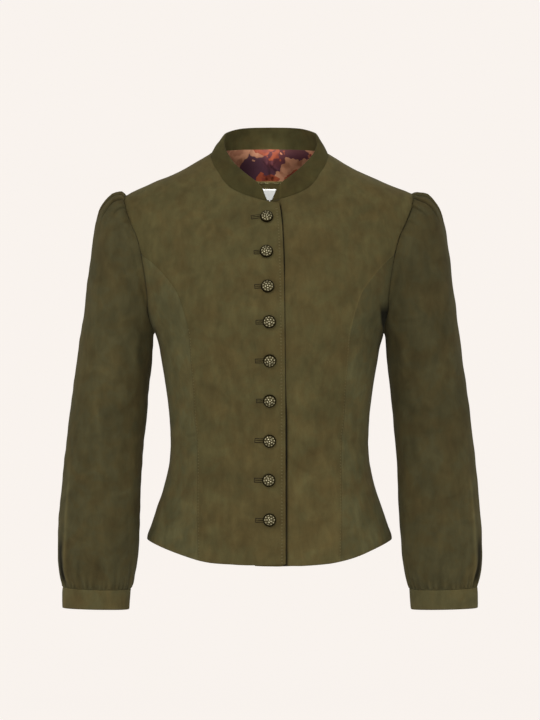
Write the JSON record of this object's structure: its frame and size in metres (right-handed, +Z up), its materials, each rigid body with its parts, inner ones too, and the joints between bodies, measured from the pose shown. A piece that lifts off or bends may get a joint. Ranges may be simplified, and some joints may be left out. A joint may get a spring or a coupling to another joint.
{
  "type": "suede jacket",
  "caption": "Fitted olive suede jacket with a stand collar, princess seams, gathered sleeves on narrow cuffs and a row of domed metal buttons.",
  "frame": {"origin": "midway between the two points where the shoulder seams meet the collar seam, inside the neck opening", "axes": "+Z up towards the collar, -Y towards the buttoned front, +X towards the wearer's left arm"},
  "size_m": [0.5654, 0.2353, 0.6453],
  "materials": {
    "suede": "napped, matt",
    "suede_sleeve": "napped, matt",
    "suede_cuff": "napped, matt",
    "metal": "antique, engraved",
    "lining": "printed satin",
    "label": "woven, plain"
  },
  "bodies": {
    "root": {"front_right": "suede", "front_left": "suede", "side_front_right": "suede", "side_front_left": "suede", "back_right": "suede", "back_left": "suede", "label_patch": "suede", "sleeve_right": "suede_sleeve", "sleeve_left": "suede_sleeve", "collar": "suede_sleeve", "cuff_right": "suede_cuff", "cuff_left": "suede_cuff", "lining_back": "lining", "label": "label", "button_1": "metal", "button_2": "metal", "button_3": "metal", "button_4": "metal", "button_5": "metal", "button_6": "metal", "button_7": "metal", "button_8": "metal", "button_9": "metal"}
  },
  "joints": []
}
